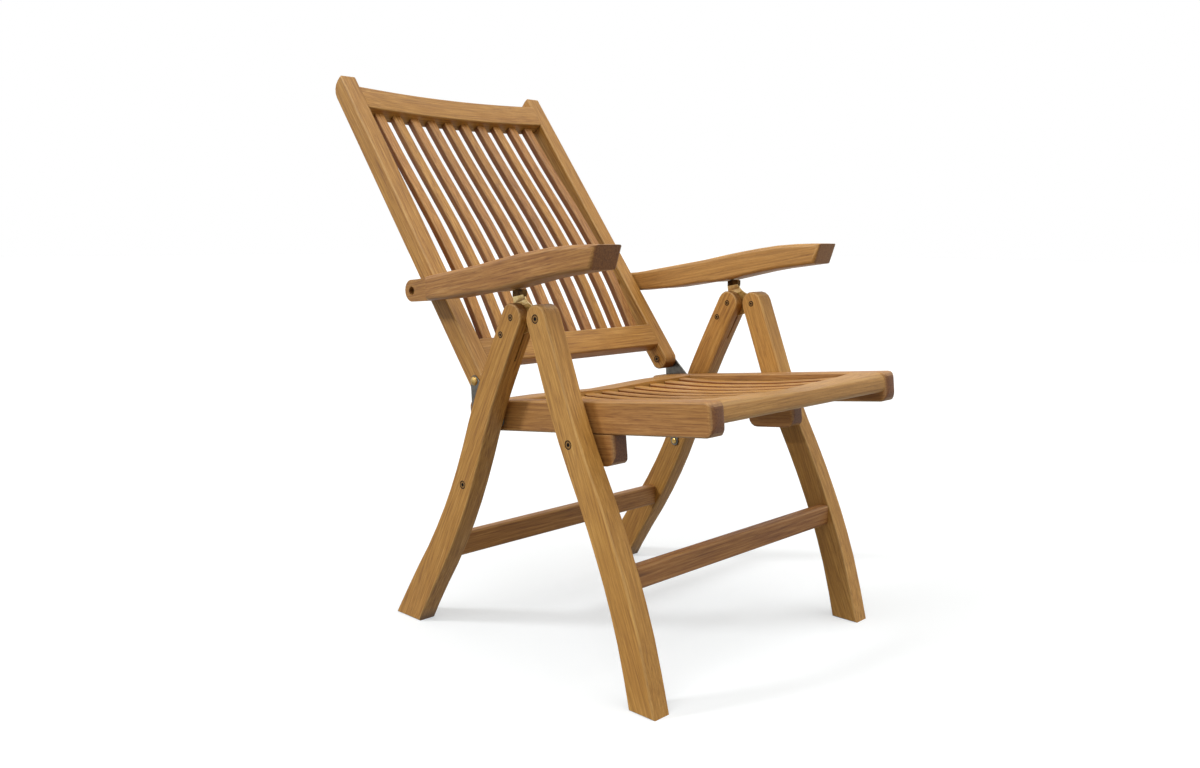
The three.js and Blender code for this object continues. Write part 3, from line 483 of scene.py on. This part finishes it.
for i in range(1, 11):
    sawn_copy(f"seat_slat_{i}", SEAT_ALONG, SEAT_UP,
              pink=dice.uniform(0, 0.25), level=dice.uniform(1.07, 1.2), sides=1.4)
    sawn_copy(f"back_slat_{i}", BACK_ALONG, -BACK_BEHIND,
              pink=dice.uniform(0, 0.7), level=dice.uniform(0.96, 1.12), sides=1.0)


# Fittings

# The |x| of a leg's inner and outer faces
LEG_INNER, LEG_OUTER = (corner[0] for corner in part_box("rear_leg_left"))

HEADS_FROM = LEG_OUTER - 4 * MM                         # heads in the legs lie farther out than this |x|
ENDS_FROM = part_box("stile_left")[0][0] - 2.5 * MM       # bolts in the stiles end nearer in than this
BOLT_RADIUS = 7.5 * MM
PIVOT_RADIUS = 7 * MM
SCREW_RADIUS = 4.6 * MM
SUNK_RADIUS = 5 * MM
RIM = 1.1               # a screw's face ends at this ring number
NO_SCREW = 9.0          # the ring number of a point that is far from every screw
HEAD_HEIGHT = 26 * MM   # of the bracket's head, and of the taper at its top
TAPER_HEIGHT = 12 * MM
TAPER_SIDES = 0.9       # its sides look this squarely outwards, and its front this squarely ahead
TAPER_FRONT = 0.6
# Satin brass, screw brass with its recess shade painted on, a brass with a painted reflection and a brass
# with painted shade
FINISHES_AND_PAINTED_LIGHT = (BRASS, SCREW, PAINTED_REFLECTION_BRASS, PAINTED_SHADE_BRASS)

# A sunk screw end, as radius and height above the wood in millimetres: socket, dome, rim and closed back
SUNK_END = ((0, 0.12), (1.6, 0.12), (1.8, 0.4), (3.2, 0.42), (4.0, 0.2), (4.9, 0.1), (5.6, 0.06),
            (5.6, -0.3), (0, -0.3))
SUNK_END_SIDES = 24


def brass_copy(node, centres, radius=BOLT_RADIUS, inner=0.0):
    """A copy of a brass node with screw heads. A point's ring number is its distance from the nearest of the
    (y, z) centres over the radius. A face is a screw's where its ring numbers are less than RIM, and it lies
    wholly farther out than HEADS_FROM or nearer in than the inner |x|."""
    mesh = nodes[node].data.copy()
    mesh.name = "brass_" + node
    mesh.materials.clear()
    for finish in FINISHES_AND_PAINTED_LIGHT:
        mesh.materials.append(finish)
    spots, _ = mesh_arrays(mesh)
    ring = np.full(len(spots), NO_SCREW)
    for y, z in centres:
        ring = np.minimum(ring, np.hypot(spots[:, 1] - y, spots[:, 2] - z) / radius)
    write_attribute(mesh, "ring", ring)
    # The solids are triangles, so that each face has three corners
    corners = np.zeros(len(mesh.loops), np.int32)
    mesh.loops.foreach_get("vertex_index", corners)
    corners = corners.reshape(-1, 3)
    outness = np.abs(spots[corners, 0])
    # Screw faces take the screw brass, whose recess shade is painted on
    sunk = ((outness.min(1) > HEADS_FROM) | (outness.max(1) < inner)) & (ring[corners].max(1) < RIM)
    finishes = np.where(sunk, FINISHES_AND_PAINTED_LIGHT.index(SCREW), FINISHES_AND_PAINTED_LIGHT.index(BRASS))
    mesh.polygons.foreach_set("material_index", finishes.astype(np.int32))
    piece = new_object("brass_" + node, mesh)
    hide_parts(node)
    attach(piece, body_of_node[node])
    return mesh


def paint_head_reflection_and_shade(mesh):
    """The head of a bracket takes a lighter brass, a painted reflection, and the sides and the front of the
    taper at its top a dark brass, the painted shade of the arm. The screws keep their finish."""
    spots, normals = mesh_arrays(mesh)
    middles = np.zeros(len(mesh.polygons) * 3)
    mesh.polygons.foreach_get("center", middles)
    finishes = np.zeros(len(mesh.polygons), np.int32)
    mesh.polygons.foreach_get("material_index", finishes)
    depth = spots[:, 2].max() - middles.reshape(-1, 3)[:, 2]
    # The outward faces of the top taper are painted dark as the arm's shade, and the rest of the head lighter
    # as a painted reflection
    looks_out = (np.abs(normals[:, 0]) > TAPER_SIDES) | (normals[:, 1] < -TAPER_FRONT)
    taper = (depth < TAPER_HEIGHT) & looks_out
    head = (depth <= HEAD_HEIGHT) & (finishes == FINISHES_AND_PAINTED_LIGHT.index(BRASS))
    finishes[head] = FINISHES_AND_PAINTED_LIGHT.index(PAINTED_REFLECTION_BRASS)
    finishes[head & taper] = FINISHES_AND_PAINTED_LIGHT.index(PAINTED_SHADE_BRASS)
    mesh.polygons.foreach_set("material_index", finishes)


def sunk_end(name, node, side, y, z, face, outward):
    """The end of a screw in a leg's face at |x|, which faces out (1) or in (-1): a rim painted dark as the
    shade of its recess, a low brass dome and a socket painted black as its shade. Each row of SUNK_END is
    carried round the screw's axis."""
    radius, height = (np.array(SUNK_END) * MM).T[:, :, None]
    turn = np.linspace(0, 2 * math.pi, SUNK_END_SIDES, endpoint=False)[None, :]
    away = 1 if side == "left" else -1
    grid = np.broadcast_arrays(
        away * (face + outward * height), y + radius * np.cos(turn), z + radius * np.sin(turn))
    spots = np.stack(grid, -1).reshape(-1, 3)
    index = np.arange(len(spots)).reshape(-1, SUNK_END_SIDES)
    beside = np.roll(index, -1, 1)
    faces = np.stack([index[:-1], beside[:-1], beside[1:], index[1:]], -1).reshape(-1, 4)
    mesh = closed_mesh(name, spots, faces.tolist())
    spots, _ = mesh_arrays(mesh)
    write_attribute(mesh, "ring", np.hypot(spots[:, 1] - y, spots[:, 2] - z) / SUNK_RADIUS)
    mesh.materials.append(SCREW)
    piece = new_object(name, mesh)
    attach(piece, body_of_node[node])


for name, node in nodes.items():
    if slot_of_node[name] != "teak":
        node.data.materials.clear()
        node.data.materials.append(BRASS if slot_of_node[name] == "brass" else STEEL)

for side in ("left", "right"):
    for name in ("leg_pivot_bolt_", "link_lower_bolt_", "seat_pivot_bolt_"):
        brass_copy(name + side, [node_centre(name + side)[1:]])
    bracket = "apex_bracket_" + side
    spots, _ = mesh_arrays(nodes[bracket].data)
    heads = spots[np.abs(spots[:, 0]) > HEADS_FROM]
    split = (heads[:, 2].min() + heads[:, 2].max()) / 2
    upper, lower = heads[heads[:, 2] > split], heads[heads[:, 2] <= split]
    screws = [((part.min(0) + part.max(0)) / 2)[1:] for part in (upper, lower)]
    paint_head_reflection_and_shade(brass_copy(bracket, screws, SCREW_RADIUS))
    for name in ("back_pivot_bolt_", "arm_pivot_bolt_"):
        brass_copy(name + side, [node_centre(name + side)[1:]], PIVOT_RADIUS, ENDS_FROM)
    _, y, z = node_centre("leg_pivot_bolt_" + side)
    sunk_end("leg_pivot_end_" + side, "leg_pivot_bolt_" + side, side, y, z, LEG_INNER, -1)
    for i, (y, z) in enumerate(screws, 1):
        sunk_end(f"bracket_screw_end_{i}_{side}", bracket, side, y, z, LEG_INNER, -1)
        sunk_end(f"bracket_screw_head_{i}_{side}", bracket, side, y, z, LEG_OUTER, 1)


# Floor, lights and camera

FLOOR_SIZE = 60
FLOOR_BRIGHTNESS = 0.58     # what the camera sees of the lit floor
FLOOR_BOUNCE = 0.26         # what the floor gives back to the chair
FLOOR_GLOW = 0.5            # added where the floor is seen, so that it comes near white
SKY_LIGHT = 0.25            # the world's light on the chair, where 1 is white
LAMP_DISTANCE = 5


def seen_rays(tree, *kinds):
    """1 for rays of the named kinds, and 0 for the others."""
    rays = add(tree, "LightPath").outputs
    seen = rays[f"Is {kinds[0]} Ray"]
    for kind in kinds[1:]:
        seen = add(tree, "Math", seen, rays[f"Is {kind} Ray"], operation="MAXIMUM")
    return seen


def pale_floor():
    """A sweep of white paper, plain to the camera, with the chair's shadow kept as a pale grey."""
    material, tree = new_material("white_paper_sweep")
    gap = FLOOR_BRIGHTNESS - FLOOR_BOUNCE
    shade = add(tree, "Math", seen_rays(tree, "Camera"), gap, FLOOR_BOUNCE, operation="MULTIPLY_ADD")
    shade = add(tree, "CombineColor", shade, shade, shade)
    tint = add(tree, "Mix", 1.0, shade, "#f8fcff", data_type="RGBA", blend_type="MULTIPLY")
    seen = seen_rays(tree, "Camera", "Glossy", "Transmission")
    strength = add(tree, "Math", seen, FLOOR_GLOW, operation="MULTIPLY")
    glow = add(tree, "Emission", Color="#f3faff", Strength=strength)
    both = add(tree, "AddShader", add(tree, "BsdfDiffuse", Color=tint), glow)
    add(tree, "OutputMaterial", both)
    bpy.ops.mesh.primitive_plane_add(size=FLOOR_SIZE, location=(0, 0, 0))
    floor = bpy.context.object
    floor.name = "floor"
    floor.data.materials.append(material)


def pale_sky():
    """A warm, weak light from all around, which is plain white where it is seen."""
    world = bpy.data.worlds.new("studio")
    scene.world = world
    world.use_nodes = True
    tree = world.node_tree
    tree.nodes.clear()
    seen = seen_rays(tree, "Camera", "Glossy")
    strength = add(tree, "MapRange", seen, To_Min=SKY_LIGHT, To_Max=1.0)
    warmth = add(tree, "Mix", seen, "#ffd9a8", "#ffffff", data_type="RGBA")
    add(tree, "OutputWorld", add(tree, "Background", Color=warmth, Strength=strength))


def direction(azimuth, elevation):
    """The direction that points to an azimuth (0 is +Y, 90 is +X) and an elevation, in degrees."""
    turn, rise = math.radians(azimuth), math.radians(elevation)
    return Vector((math.sin(turn) * math.cos(rise), math.cos(turn) * math.cos(rise), math.sin(rise)))


def sun(name, azimuth, elevation, strength, softness):
    """A lamp that shines from an azimuth and an elevation, its disc as wide as its softness in degrees."""
    data = bpy.data.lights.new(name, "SUN")
    data.energy = strength
    data.angle = math.radians(softness)
    lamp = new_object(name, data)
    origin = direction(azimuth, elevation)
    lamp.location = origin * LAMP_DISTANCE
    lamp.rotation_euler = (-origin).to_track_quat("-Z", "Y").to_euler()


def photograph_camera():
    """The camera that was solved from the photograph's feet, arms and legs."""
    lens = bpy.data.cameras.new("camera")
    lens.lens = 31.627
    lens.sensor_width = 36
    lens.sensor_fit = "HORIZONTAL"
    camera = new_object("camera", lens)
    camera.location = (-1.4148, -1.38128, 0.713)
    roll = Quaternion((0, 0, 1), math.radians(0.304))
    camera.rotation_euler = (direction(45.705, -8.057).to_track_quat("-Z", "Y") @ roll).to_euler()
    scene.camera = camera


pale_floor()
pale_sky()
sun("left", azimuth=-56, elevation=32, strength=1.5, softness=10)
sun("key", azimuth=-105, elevation=52, strength=1.1, softness=40)
sun("overhead", azimuth=120, elevation=78, strength=1.2, softness=60)
sun("front", azimuth=170, elevation=30, strength=0.8, softness=80)
photograph_camera()
scene.view_settings.view_transform = "Standard"
